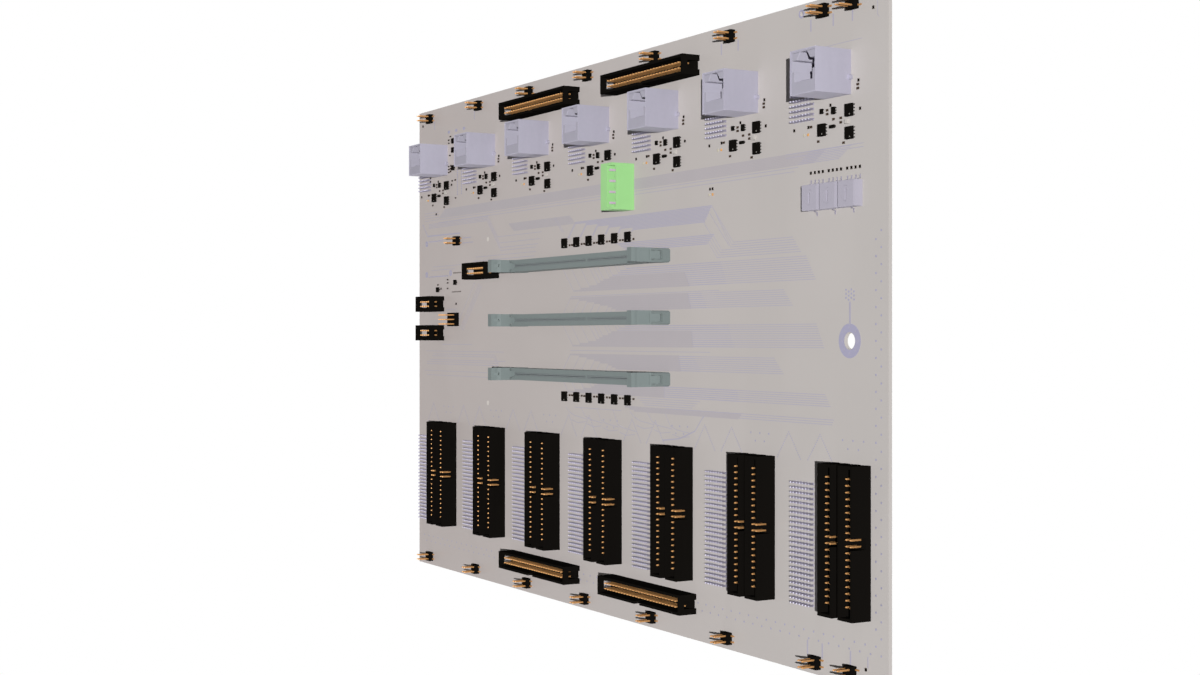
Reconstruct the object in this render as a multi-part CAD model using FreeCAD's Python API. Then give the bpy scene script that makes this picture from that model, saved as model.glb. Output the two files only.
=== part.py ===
import FreeCAD, Part
import os

from FreeCAD import Placement, Rotation, Vector

# Drive backplane board: a bare board that stands upright, with seven drive slots side by side.
# The face that carries the components looks towards -Y; the drives plug into the face towards +Y.
# Frame: X to the right along the board, Z up, origin at the centre of the rear face of the board.
#
# Every component is drawn on its own footprint: x and y lie in the board's surface (y is up on the
# board), and z grows away from the surface. front() and rear() then seat it on the board.

# ------------------------------------------------------------------------------ board and slots
# Gaps in x run from an edge of the board or from the centre of a slot to the middle of a component;
# drops run down from the upper edge and rises up from the lower edge.
slot_count = 7
slot_pitch = 60.96
board_margin = 0.34
board_width = slot_count * slot_pitch + 2 * board_margin
board_height = 264.8
board_thickness = 1.6
fixing_hole_radius = 3.2
fixing_hole_from_right = 22.9
fixing_hole_level = -1.3
tooling_hole_radius = 1.0
tooling_hole_from_right = 53.3
tooling_hole_drop = 3.7

# --------------------------------------------------------------------- shielded jacks, one a slot
jack_width = 15.9
jack_depth = 17.1
jack_height = 17.1
jack_offset_x = 0.8
jack_drop = 31.0
shell_wall = 0.35
shell_lug_reach = 1.0
shell_lug_width = 2.0
shell_lug_height = 1.4
shell_lug_y = -2.1
shell_rim = 0.3
insert_side_wall = 0.5
insert_top_wall = 0.6
insert_chin = 4.6
mouth_depth = 12.4
rail_width = 1.3
rail_height = 2.2
rail_recess = 1.6

# --------------------------------------- bus connectors behind the board, a long and a short a slot
bus_pitch = 2.0
bus_columns = 7
bus_long_rows = 25
bus_short_rows = 11
bus_offset_x = -20.9
bus_long_rise = 50.7
bus_short_drop = 36.4
bus_wall = 1.4
bus_side_gap = 0.7
bus_floor = 2.6
bus_height = 12.5
bus_groove_width = 2.0
bus_groove_depth = 0.7

# -------------------------------------------------------------------------- shrouded box headers
pin_pitch = 2.54
pin_side = 0.64
box_width = 8.8
box_height = 9.0
box_wall = 1.2
box_floor = 2.4
box_end_margin = 3.81
box_notch_width = 4.5
box_window_width = 3.7
box_window_height = 6.3
forty_way_columns = 20
forty_way_offset_x = 9.96
forty_way_spacing = 12.4
forty_way_rise = 55.0
fifty_way_columns = 25
fifty_way_left_slot = 3
fifty_way_left_offset = 5.46
fifty_way_right_slot = 5
fifty_way_top_right_offset = -9.66
fifty_way_bottom_right_offset = -12.26
fifty_way_drop = 13.6
fifty_way_rise = 15.8
ten_way_columns = 5
ten_way_from_left = 24.7
ten_way_levels = {"upper": 19.3, "lower": 2.7}
sixteen_way_columns = 8
sixteen_way_slot = 2
sixteen_way_offset = -0.58
sixteen_way_z = 36.3

# ------------------------------------------------------------------------ four-pin header blocks
block_height = 2.54
block_pin_top = 8.6
block_columns = 2
top_block_gap = 2.46
bottom_block_gap = 2.36
top_block_offsets = (-13.96, -10.22, -10.88, -10.64, -9.8, -10.46, -7.32)
bottom_block_offsets = (-13.96, -13.72, -13.48, -13.54, -12.7, -12.76, -12.52)
top_end_block_from_right = 19.94
bottom_end_block_from_right = 21.34
single_block_from_left = 53.86
single_block_z = 54.5
jumper_columns = 4
jumper_rows = 3
jumper_from_left = 49.5
jumper_z = 10.2

# ------------------------------------------------------------------------ memory module sockets
socket_x = -8.6
socket_levels = {"top": 36.9, "middle": 8.9, "bottom": -18.8}
socket_length = 143.2
socket_width = 6.0
socket_bar_height = 9.6
module_length = 133.8
module_slot_width = 1.5
module_slot_floor = 3.9
module_key_x = 12.0
module_key_width = 1.3
tower_width = 6.4
tower_length = 5.7
tower_height = 9.3
tower_chamfer = 1.0
foot_chamfer = 1.4
cheek_gap = 4.0
pocket_floor = 4.0
well_length = 2.6
well_width = 2.8

# ----------------------------------------------------------------------- ejector latches, two each
latch_blade_width = 3.6
latch_head_width = 6.4
latch_pivot_inset = 2.0
latch_pivot_z = 6.2
latch_heel_radius = 1.9
latch_trunnion_radius = 0.9
latch_trunnion_play = 0.06
latch_trunnion_length = 0.9
latch_trunnion_end_play = 0.1
latch_head_floor = 9.8
latch_top = 20.5
latch_thickness = 3.4
latch_nose_z = 17.2
latch_nose_reach = 1.5
latch_ledge_z = 15.0
latch_ledge_rise = 2.0
latch_ledge_reach = 0.6
latch_thumb_reach = 0.4
latch_panel_depth = 0.5
latch_panel_margin = 0.9
latch_arm_reach = 5.2
latch_arm_thick = 1.2
latch_arm_width = 2.2

# ------------------------------------------------------------------------- rotary code switches
switch_side = 10.1
switch_height = 4.2
switch_pitch = 11.4
switch_count = 3
switch_from_right = 20.25
switch_drop = 77.6
switch_edge = 0.4
rotor_radius = 2.9
rotor_play = 0.08
rotor_thick = 0.7
rotor_lift = 0.1
rotor_slot_length = 4.7
rotor_slot_width = 0.9
rotor_slot_depth = 0.4
rotor_arrow_width = 1.8
rotor_arrow_length = 1.5

# ------------------------------------------------------------------ four-way pluggable terminal
terminal_poles = 4
terminal_pitch = 5.08
terminal_length = 21.6
terminal_width = 9.9
terminal_height = 12.2
terminal_low_wall = 9.7
terminal_wall = 1.2
terminal_scalloped_wall = 1.7
terminal_step = 5.6
terminal_floor = 2.6
terminal_scallop_width = 4.2
terminal_scallop_depth = 1.2
terminal_pin_side = 1.0
terminal_pin_top = 11.2
terminal_pin_x = 1.75
terminal_x = 26.75
terminal_level = 70.0

# ------------------------------------------------------------------------------ surface packages
package_standoff = 0.1
soic_size = (3.9, 4.9, 1.5)
small_outline_size = (1.6, 2.9, 1.1)
transistor_size = (1.3, 2.0, 1.0)
diode_size = (2.9, 1.3, 1.0)
slot_packages = {
    "upper_right": (8.5, 45.5, soic_size),
    "lower_right": (8.6, 54.2, soic_size),
    "lower_left": (-8.5, 51.4, soic_size),
    "middle": (-1.4, 44.6, small_outline_size),
    "upper_left": (-8.9, 44.1, transistor_size),
    "lower_middle": (-2.2, 50.7, diode_size),
}
socket_driver_count = 6
socket_driver_pitch = 12.26
socket_driver_x = -3.7
socket_driver_levels = (47.0, -29.3)


def box(width, depth, height, x=0.0, y=0.0, z=0.0):
    """A block centred on (x, y), standing on level z."""
    corner = Vector(x - width / 2, y - depth / 2, z)
    return Part.makeBox(width, depth, height, corner)


def prism(outline, axis_length, axis):
    """A closed outline of points, pushed along an axis by its length."""
    face = Part.Face(Part.makePolygon(outline + outline[:1]))
    return face.extrude(axis * axis_length)


def group(solids):
    return Part.makeCompound(solids)


def front(shape, x, z, turn=0.0):
    """Seats a footprint on the component face, at x along the board and z up it."""
    placed = shape.copy()
    spin = Rotation(Vector(0, 0, 1), turn)
    stand = Rotation(Vector(1, 0, 0), 90)
    placed.Placement = Placement(Vector(x, -board_thickness, z), stand.multiply(spin))
    return placed


def rear(shape, x, z):
    """Seats a footprint on the rear face, at x along the board and z up it."""
    placed = shape.copy()
    around = Rotation(Vector(0, 0, 1), 180)
    stand = Rotation(Vector(1, 0, 0), 90)
    placed.Placement = Placement(Vector(x, 0, z), around.multiply(stand))
    return placed


def from_top(drop):
    return board_height / 2 - drop


def from_bottom(rise):
    return rise - board_height / 2


def from_left(distance):
    return distance - board_width / 2


def from_right(distance):
    return board_width / 2 - distance


def slot_centre(slot):
    """Slots are numbered from 1, at the left."""
    return (slot - (slot_count + 1) / 2) * slot_pitch


# --------------------------------------------------------------------------------------- board
def board():
    sheet = box(board_width, board_height, board_thickness, z=-board_thickness)
    for x, y, radius in (
        (from_right(fixing_hole_from_right), fixing_hole_level, fixing_hole_radius),
        (from_right(tooling_hole_from_right), from_top(tooling_hole_drop), tooling_hole_radius),
    ):
        hole = Part.makeCylinder(radius, board_thickness, Vector(x, y, -board_thickness))
        sheet = sheet.cut(hole)
    return sheet


# --------------------------------------------------------------------------------------- jacks
def jack_shell():
    """A folded tube of sheet metal with a soldering lug at the foot of each side."""
    tube = box(jack_width, jack_depth, jack_height)
    base, tip = shell_lug_width / 2, shell_lug_width / 4
    for side in (-1, 1):
        outline = [
            Vector(side * (jack_width / 2 - shell_wall), shell_lug_y - base, 0),
            Vector(side * (jack_width / 2 + shell_lug_reach / 2), shell_lug_y - base, 0),
            Vector(side * (jack_width / 2 + shell_lug_reach), shell_lug_y - tip, 0),
            Vector(side * (jack_width / 2 + shell_lug_reach), shell_lug_y + tip, 0),
            Vector(side * (jack_width / 2 + shell_lug_reach / 2), shell_lug_y + base, 0),
            Vector(side * (jack_width / 2 - shell_wall), shell_lug_y + base, 0),
        ]
        tube = tube.fuse(prism(outline, shell_lug_height, Vector(0, 0, 1)))
    bore = box(jack_width - 2 * shell_wall, jack_depth - 2 * shell_wall, jack_height)
    return tube.cut(bore).removeSplitter()


def jack_insert_size():
    return jack_width - 2 * shell_wall, jack_depth - 2 * shell_wall, jack_height - shell_rim


def jack_mouth():
    """The mouth's width, its lowest and highest y, and the level of its floor."""
    width, depth, height = jack_insert_size()
    low = -depth / 2 + insert_chin
    high = depth / 2 - insert_top_wall
    return width - 2 * insert_side_wall, low, high, height - mouth_depth


def jack_insert():
    width, depth, height = jack_insert_size()
    mouth_width, low, high, floor = jack_mouth()
    body = box(width, depth, height)
    body = body.cut(box(mouth_width, high - low, mouth_depth, y=(low + high) / 2, z=floor))
    for side in (-1, 1):
        rail_x = side * (mouth_width - rail_width) / 2
        rail = box(rail_width, rail_height, mouth_depth - rail_recess, rail_x, low + rail_height / 2, floor)
        body = body.fuse(rail)
    return body.removeSplitter()


# ------------------------------------------------------------------------------ bus connectors
def bus_connector(rows):
    """A two-walled shroud, open at both ends, with keying grooves down its walls."""
    length = rows * bus_pitch
    inner = bus_columns * bus_pitch + 2 * bus_side_gap - bus_pitch
    width = inner + 2 * bus_wall
    shroud = box(width, length, bus_height)
    shroud = shroud.cut(box(inner, length, bus_height, z=bus_floor))
    for side in (-1, 1):
        groove_x = side * (inner + bus_groove_depth) / 2
        groove_y = length / 4
        groove = box(bus_groove_depth, bus_groove_width, bus_height, groove_x, groove_y, bus_floor)
        shroud = shroud.cut(groove)
    return shroud


# --------------------------------------------------------------------------------- box headers
def box_header(columns):
    """A shroud round two rows of pins: polarising notch at -y, a window low in each end wall."""
    length = columns * pin_pitch + 2 * box_end_margin
    shroud = box(length, box_width, box_height)
    cavity_length, cavity_width = length - 2 * box_wall, box_width - 2 * box_wall
    shroud = shroud.cut(box(cavity_length, cavity_width, box_height, z=box_floor))
    notch_y = -(box_width - box_wall) / 2
    shroud = shroud.cut(box(box_notch_width, box_wall, box_height, y=notch_y, z=box_floor))
    for side in (-1, 1):
        window_x = side * (length - box_wall) / 2
        shroud = shroud.cut(box(box_wall, box_window_width, box_window_height, x=window_x))
    return shroud


def pin_grid(columns, rows, height, side=pin_side):
    first_x = -(columns - 1) * pin_pitch / 2
    first_y = -(rows - 1) * pin_pitch / 2
    return [
        box(side, side, height, first_x + i * pin_pitch, first_y + j * pin_pitch)
        for i in range(columns)
        for j in range(rows)
    ]


# ------------------------------------------------------------------------- four-pin pin headers
def block_side():
    return block_columns * pin_pitch


def block_places():
    """One block a slot along the upper and the lower edge, one more at each right-hand corner."""
    top = from_top(top_block_gap + block_side() / 2)
    bottom = from_bottom(bottom_block_gap + block_side() / 2)
    places = [(from_right(top_end_block_from_right), top), (from_right(bottom_end_block_from_right), bottom)]
    for slot in range(1, slot_count + 1):
        centre = slot_centre(slot)
        places.append((centre + top_block_offsets[slot - 1], top))
        places.append((centre + bottom_block_offsets[slot - 1], bottom))
    return places + [(from_left(single_block_from_left), single_block_z)]


# ------------------------------------------------------------------------------ memory sockets
def pivot_x():
    return socket_length / 2 - latch_pivot_inset


def memory_socket():
    """A long slotted bar between two towers, each tower a pair of cheeks round a latch."""
    half = socket_length / 2
    bar = box(socket_length - 2 * tower_length, socket_width, socket_bar_height)
    for side in (-1, 1):
        tower_x = side * (half - tower_length / 2)
        tower = box(tower_length, tower_width, tower_height, tower_x)
        bar = bar.fuse(tower)
    bar = bar.cut(box(module_length, module_slot_width, socket_bar_height, z=module_slot_floor))
    key_height = socket_bar_height - module_slot_floor
    key = box(module_key_width, module_slot_width, key_height, module_key_x, 0, module_slot_floor)
    bar = bar.fuse(key)
    for side in (-1, 1):
        bar = bar.cut(tower_cuts(side))
    return bar.removeSplitter()


def tower_cuts(side):
    """What is taken out of one tower: latch pocket, ejector well, bearings and chamfers."""
    half = socket_length / 2
    pocket = box(tower_length, cheek_gap, tower_height, side * (half - tower_length / 2), 0, pocket_floor)
    well_x = side * (half - tower_length - well_length / 2)
    well = box(well_length, well_width, socket_bar_height, well_x, 0, pocket_floor)
    top_bevel = prism(
        [
            Vector(side * half, -tower_width / 2, tower_height),
            Vector(side * (half - tower_chamfer), -tower_width / 2, tower_height),
            Vector(side * half, -tower_width / 2, tower_height - tower_chamfer),
        ],
        tower_width,
        Vector(0, 1, 0),
    )
    cuts = pocket.fuse(well).fuse(bearing(side)).fuse(top_bevel)
    for edge in (-1, 1):
        corner = prism(
            [
                Vector(side * half, edge * tower_width / 2, 0),
                Vector(side * (half - foot_chamfer), edge * tower_width / 2, 0),
                Vector(side * half, edge * (tower_width / 2 - foot_chamfer / 2), 0),
            ],
            tower_height,
            Vector(0, 0, 1),
        )
        cuts = cuts.fuse(corner)
    return cuts


def bearing(side):
    """Blind grooves down the cheeks, round at the foot, that the trunnions drop into."""
    radius = latch_trunnion_radius + latch_trunnion_play
    reach = latch_blade_width / 2 + latch_trunnion_length + latch_trunnion_end_play
    x = side * pivot_x()
    seat = Part.makeCylinder(radius, 2 * reach, Vector(x, -reach, latch_pivot_z), Vector(0, 1, 0))
    lead_in = box(2 * radius, 2 * reach, tower_height - latch_pivot_z, x, 0, latch_pivot_z)
    return seat.fuse(lead_in)


def latch():
    """The ejector of the right-hand end: blade, trunnions, ejector arm, nose and thumb rest."""
    x, z = pivot_x(), latch_pivot_z
    inner, outer = x - latch_thickness / 2, x + latch_thickness / 2
    middle, half_head = latch_blade_width / 2, latch_head_width / 2
    nose_top = latch_nose_z + latch_nose_reach

    trunnion = Part.makeCylinder(
        latch_trunnion_radius,
        latch_blade_width + 2 * latch_trunnion_length,
        Vector(x, -middle - latch_trunnion_length, z),
        Vector(0, 1, 0),
    )
    arm_tip, arm_level = x - latch_arm_reach, z - latch_heel_radius
    arm = box(x - arm_tip, latch_arm_width, latch_arm_thick, (x + arm_tip) / 2, 0, arm_level)
    head = prism(
        [
            Vector(inner, -half_head, latch_head_floor),
            Vector(inner, -half_head, latch_ledge_z),
            Vector(inner - latch_ledge_reach, -half_head, latch_ledge_z),
            Vector(inner, -half_head, latch_ledge_z + latch_ledge_rise),
            Vector(inner, -half_head, latch_top),
            Vector(outer + latch_thumb_reach, -half_head, latch_top),
            Vector(outer + latch_thumb_reach, -half_head, nose_top),
            Vector(outer, -half_head, latch_nose_z),
            Vector(outer, -half_head, latch_head_floor),
        ],
        latch_head_width,
        Vector(0, 1, 0),
    )
    nose = prism(
        [
            Vector(inner, -module_slot_width / 2, latch_nose_z - latch_nose_reach),
            Vector(inner - latch_nose_reach, -module_slot_width / 2, latch_nose_z),
            Vector(inner, -module_slot_width / 2, nose_top),
        ],
        module_slot_width,
        Vector(0, 1, 0),
    )
    panel = box(
        latch_panel_depth,
        latch_head_width - 2 * latch_panel_margin,
        latch_nose_z - latch_head_floor - 2 * latch_panel_margin,
        outer - latch_panel_depth / 2,
        0,
        latch_head_floor + latch_panel_margin,
    )
    body = latch_blade(x, z, inner, outer).fuse(arm).fuse(trunnion).fuse(head).fuse(nose)
    return body.cut(panel).removeSplitter()


def latch_blade(x, z, inner, outer):
    """The part between the cheeks: straight sides down to a bevelled heel about the pivot."""
    y = -latch_blade_width / 2
    flat = latch_heel_radius / 2
    outline = [
        Vector(inner, y, latch_head_floor),
        Vector(outer, y, latch_head_floor),
        Vector(outer, y, z - flat),
        Vector(x + flat, y, z - latch_heel_radius),
        Vector(x - flat, y, z - latch_heel_radius),
        Vector(inner, y, z - flat),
    ]
    return prism(outline, latch_blade_width, Vector(0, 1, 0))


# ------------------------------------------------------------------------------- code switches
def switch_body():
    body = box(switch_side, switch_side, switch_height)
    body = body.makeChamfer(switch_edge, [e for e in body.Edges if upper_edge(e, switch_height)])
    seat_depth = rotor_thick + rotor_lift
    seat = Part.makeCylinder(rotor_radius + rotor_play, seat_depth, Vector(0, 0, switch_height - seat_depth))
    return body.cut(seat)


def upper_edge(edge, level):
    return all(abs(vertex.Z - level) < 1e-6 for vertex in edge.Vertexes)


def switch_rotor():
    """A disc with a driver slot and an arrowhead at one end of the slot."""
    disc = Part.makeCylinder(rotor_radius, rotor_thick, Vector(0, 0, switch_height - rotor_thick))
    cut_level = switch_height - rotor_slot_depth
    tip, shoulder = rotor_slot_length / 2, rotor_slot_length / 2 - rotor_arrow_length
    side, barb = rotor_slot_width / 2, rotor_arrow_width / 2
    slot = [
        Vector(-side, -tip, cut_level),
        Vector(side, -tip, cut_level),
        Vector(side, shoulder, cut_level),
        Vector(barb, shoulder, cut_level),
        Vector(0, tip, cut_level),
        Vector(-barb, shoulder, cut_level),
        Vector(-side, shoulder, cut_level),
    ]
    return disc.cut(prism(slot, rotor_slot_depth, Vector(0, 0, 1)))


def switch_place(index):
    return from_right(switch_from_right) - (switch_count - index) * switch_pitch


# ------------------------------------------------------------------------------------ terminal
def terminal_header():
    """A trough with one high wall and one low, scalloped wall, closed at both ends."""
    half = terminal_width / 2
    trough_low, trough_high = -half + terminal_step, half - terminal_scalloped_wall
    trough_x, trough_width = (trough_low + trough_high) / 2, trough_high - trough_low
    inner_length = terminal_length - 2 * terminal_wall
    low_x = half - terminal_scalloped_wall / 2
    body = box(terminal_width, terminal_length, terminal_height)
    body = body.cut(box(trough_width, inner_length, terminal_height, trough_x, 0, terminal_floor))
    body = body.cut(
        box(terminal_scalloped_wall, inner_length, terminal_height, low_x, 0, terminal_low_wall)
    )
    mouth, back = terminal_scallop_width / 2, terminal_scallop_width / 4
    for y in terminal_rows():
        outline = [
            Vector(trough_high, y - mouth, terminal_floor),
            Vector(trough_high + terminal_scallop_depth, y - back, terminal_floor),
            Vector(trough_high + terminal_scallop_depth, y + back, terminal_floor),
            Vector(trough_high, y + mouth, terminal_floor),
        ]
        body = body.cut(prism(outline, terminal_height - terminal_floor, Vector(0, 0, 1)))
    return body.removeSplitter()


def terminal_rows():
    first = -(terminal_poles - 1) * terminal_pitch / 2
    return [first + i * terminal_pitch for i in range(terminal_poles)]


def terminal_pins():
    side = terminal_pin_side
    return [box(side, side, terminal_pin_top, terminal_pin_x, y) for y in terminal_rows()]


# ---------------------------------------------------------------------------- surface packages
def package(size, x, z):
    width, depth, height = size
    return front(box(width, depth, height, z=package_standoff), x, z)


def packages():
    solids = []
    for slot in range(1, slot_count + 1):
        for x, drop, size in slot_packages.values():
            solids.append(package(size, slot_centre(slot) + x, from_top(drop)))
    first = socket_driver_x - (socket_driver_count - 1) * socket_driver_pitch / 2
    for level in socket_driver_levels:
        for i in range(socket_driver_count):
            solids.append(package(soic_size, first + i * socket_driver_pitch, level))
    return solids


# ------------------------------------------------------------------------------------ assembly
def parts():
    """Every node of the board, by name."""
    nodes = {"board": front(board(), 0, 0)}

    shell, insert = jack_shell(), jack_insert()
    long_bus, short_bus = bus_connector(bus_long_rows), bus_connector(bus_short_rows)
    forty = box_header(forty_way_columns)
    for slot in range(1, slot_count + 1):
        centre = slot_centre(slot)
        jack_x = centre + jack_offset_x
        nodes[f"jack_shell_{slot}"] = front(shell, jack_x, from_top(jack_drop))
        nodes[f"jack_insert_{slot}"] = front(insert, jack_x, from_top(jack_drop))
        bus_x = centre + bus_offset_x
        nodes[f"bus_connectors_{slot}"] = group(
            [
                rear(long_bus, bus_x, from_bottom(bus_long_rise)),
                rear(short_bus, bus_x, from_top(bus_short_drop)),
            ]
        )
        pair = [centre + forty_way_offset_x + side * forty_way_spacing / 2 for side in (-1, 1)]
        forty_z = from_bottom(forty_way_rise)
        nodes[f"forty_way_headers_{slot}"] = group([front(forty, x, forty_z, 90) for x in pair])

    fifty = box_header(fifty_way_columns)
    left = slot_centre(fifty_way_left_slot) + fifty_way_left_offset
    top_right = slot_centre(fifty_way_right_slot) + fifty_way_top_right_offset
    bottom_right = slot_centre(fifty_way_right_slot) + fifty_way_bottom_right_offset
    top, bottom = from_top(fifty_way_drop), from_bottom(fifty_way_rise)
    nodes["fifty_way_header_top_left"] = front(fifty, left, top)
    nodes["fifty_way_header_top_right"] = front(fifty, top_right, top)
    nodes["fifty_way_header_bottom_left"] = front(fifty, left, bottom)
    nodes["fifty_way_header_bottom_right"] = front(fifty, bottom_right, bottom)
    ten = box_header(ten_way_columns)
    for name, level in ten_way_levels.items():
        nodes[f"ten_way_header_{name}"] = front(ten, from_left(ten_way_from_left), level)
    sixteen_x = slot_centre(sixteen_way_slot) + sixteen_way_offset
    nodes["sixteen_way_header"] = front(box_header(sixteen_way_columns), sixteen_x, sixteen_way_z)

    block = box(block_side(), block_side(), block_height)
    posts = group(pin_grid(block_columns, block_columns, block_pin_top))
    nodes["pin_header_blocks"] = group([front(block, x, z) for x, z in block_places()])
    jumper_x = from_left(jumper_from_left)
    jumper_pins = group(pin_grid(jumper_columns, jumper_rows, block_pin_top))
    all_posts = [front(posts, x, z) for x, z in block_places()]
    nodes["pin_header_pins"] = group(all_posts + [front(jumper_pins, jumper_x, jumper_z)])
    jumper_block = box(jumper_columns * pin_pitch, jumper_rows * pin_pitch, block_height)
    nodes["jumper_block"] = front(jumper_block, jumper_x, jumper_z)

    socket, right_latch = memory_socket(), latch()
    for name, level in socket_levels.items():
        nodes[f"memory_socket_{name}"] = front(socket, socket_x, level)
        nodes[f"latch_{name}_right"] = front(right_latch, socket_x, level)
        nodes[f"latch_{name}_left"] = front(right_latch, socket_x, level, 180)

    body, rotor = switch_body(), switch_rotor()
    for index in range(1, switch_count + 1):
        switch_z = from_top(switch_drop)
        nodes[f"code_switch_{index}"] = front(body, switch_place(index), switch_z)
        nodes[f"switch_rotor_{index}"] = front(rotor, switch_place(index), switch_z)

    nodes["terminal_header"] = front(terminal_header(), terminal_x, terminal_level)
    nodes["terminal_pins"] = front(group(terminal_pins()), terminal_x, terminal_level)
    nodes["chip_packages"] = group(packages())
    return nodes


os.makedirs("parts", exist_ok=True)
for name, shape in parts().items():
    shape.exportStep(f"parts/{name}.step")
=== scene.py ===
"""Looks of the drive backplane board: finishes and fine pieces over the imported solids."""

import math

import bpy
from mathutils import Matrix, Vector


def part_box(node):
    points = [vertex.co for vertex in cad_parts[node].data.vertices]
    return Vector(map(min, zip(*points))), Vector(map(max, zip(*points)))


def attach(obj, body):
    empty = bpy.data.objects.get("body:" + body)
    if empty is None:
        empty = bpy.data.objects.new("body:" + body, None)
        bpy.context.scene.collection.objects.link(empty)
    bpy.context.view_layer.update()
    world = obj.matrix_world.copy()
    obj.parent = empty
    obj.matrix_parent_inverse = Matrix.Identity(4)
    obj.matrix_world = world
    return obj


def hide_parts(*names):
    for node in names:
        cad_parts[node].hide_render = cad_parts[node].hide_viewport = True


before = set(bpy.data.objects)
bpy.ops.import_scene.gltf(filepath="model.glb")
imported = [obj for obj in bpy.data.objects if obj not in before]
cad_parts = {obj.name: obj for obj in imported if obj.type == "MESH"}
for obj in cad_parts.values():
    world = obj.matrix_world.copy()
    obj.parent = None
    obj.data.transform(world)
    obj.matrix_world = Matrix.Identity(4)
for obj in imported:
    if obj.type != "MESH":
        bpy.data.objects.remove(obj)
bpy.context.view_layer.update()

MM = 0.001
SLOTS = range(1, 8)
PITCH = 2.54
BUS_PITCH = 2.0


# ------------------------------------------------------------------------------------- finishes
def paint(red, green, blue):
    """A screen colour, 0 to 255, as the shader wants it."""
    return tuple(((value / 255 + 0.055) / 1.055) ** 2.4 for value in (red, green, blue)) + (1.0,)


class Signal:
    """A socket of a shader tree. Sums, differences and products of signals add Math nodes."""

    def __init__(self, owner, socket):
        self.owner = owner
        self.socket = socket

    def math(self, operation, first, second):
        return self.owner.node("ShaderNodeMath", {0: first, 1: second}, operation=operation)

    def __add__(self, other):
        return self.math("ADD", self, other)

    def __mul__(self, other):
        return self.math("MULTIPLY", self, other)

    def __sub__(self, other):
        return self.math("SUBTRACT", self, other)

    __radd__ = __add__
    __rmul__ = __mul__


class Nodes:
    """A shader tree, with the one method that adds nodes to it."""

    def __init__(self, tree):
        self.tree = tree

    def node(self, kind, inputs=None, output=0, **settings):
        node = self.tree.nodes.new(kind)
        for key, value in settings.items():
            setattr(node, key, value)
        for key, value in (inputs or {}).items():
            self.plug(node.inputs[key], value)
        return Signal(self, node.outputs[output])

    def plug(self, socket, value):
        if isinstance(value, Signal):
            self.tree.links.new(value.socket, socket)
        else:
            socket.default_value = value

    def held(self, value):
        """A signal kept between 0 and 1."""
        return self.node("ShaderNodeClamp", {"Value": value}, "Result")

    def seen_directly(self):
        """1 for what the camera sees, itself or mirrored, and 0 once the light has scattered."""
        camera, glossy, transmitted, scattered = [
            self.node("ShaderNodeLightPath", output=ray)
            for ray in ("Is Camera Ray", "Is Glossy Ray", "Is Transmission Ray", "Diffuse Depth")
        ]
        return self.held(camera + self.held(glossy + transmitted - scattered))


class Finish(Nodes):
    """A material: one principled shader and whatever feeds it."""

    def __init__(self, name, colour, roughness, metallic=0.0, specular=0.5, matt=0.6):
        self.material = bpy.data.materials.new(name)
        self.material.use_nodes = True
        super().__init__(self.material.node_tree)
        self.shader = self.tree.nodes["Principled BSDF"]
        self.colour = paint(*colour)
        self.place = self.node("ShaderNodeTexCoord", output="Object")
        self.feed(
            {
                "Base Color": self.colour,
                "Roughness": roughness,
                "Diffuse Roughness": matt,
                "Metallic": metallic,
                "Specular IOR Level": specular,
            }
        )

    def feed(self, values):
        for key, value in values.items():
            self.plug(self.shader.inputs[key], value)

    def noise(self, size, detail=2.0, stretch=(1, 1, 1)):
        """Soft noise whose lumps are about size millimetres across."""
        place = self.node("ShaderNodeMapping", {"Vector": self.place, "Scale": stretch})
        inputs = {"Vector": place, "Scale": 1 / (size * MM), "Detail": detail}
        return self.node("ShaderNodeTexNoise", inputs, "Fac")

    def blend(self, factor, first, second):
        inputs = {0: factor, 6: first, 7: second}
        return self.node("ShaderNodeMix", inputs, 2, data_type="RGBA")

    def shade(self, colour, change):
        """The colour made lighter or darker by a factor."""
        return tuple(min(1.0, value * change) for value in colour[:3]) + (1.0,)

    def mottle(self, size, amount, detail=2.0, stretch=(1, 1, 1)):
        """Lighter and darker patches in the base colour."""
        factor = self.noise(size, detail, stretch)
        low, high = self.shade(self.colour, 1 - amount), self.shade(self.colour, 1 + amount)
        self.feed({"Base Color": self.blend(factor, low, high)})
        return self

    def bump(self, height, depth, strength=0.4):
        """Relief of a height signal, depth in millimetres."""
        inputs = {"Height": height, "Distance": depth * MM, "Strength": strength}
        self.feed({"Normal": self.node("ShaderNodeBump", inputs, "Normal")})
        return self

    def gloss(self, low, high, size):
        """Roughness that drifts between two values."""
        self.feed({"Roughness": low + (high - low) * self.noise(size)})
        return self


def moulded(name, colour, roughness, grain=0.35, specular=0.3, matt=0.6):
    """Moulded plastic: faint mottling and a fine spark-eroded grain."""
    finish = Finish(name, colour, roughness, specular=specular, matt=matt)
    finish.mottle(6.0, 0.04)
    finish.gloss(roughness - 0.06, roughness + 0.06, 3.0)
    return finish.bump(finish.noise(grain, 3.0), 0.02)


def plated(name, colour, roughness, metallic=1.0, stretch=(1, 1, 1)):
    """Plated metal: slight patches of tarnish and fine drawing marks."""
    finish = Finish(name, colour, roughness, metallic=metallic)
    finish.mottle(2.5, 0.03, 3.0, stretch)
    finish.gloss(roughness - 0.08, roughness + 0.08, 2.0)
    return finish.bump(finish.noise(0.5, 3.0, stretch), 0.008)


BOARD_LENGTH = 0.43
MASK_PATCHES = (0.965, 1.035)
CLOTH_WAVES = 95.0


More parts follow.
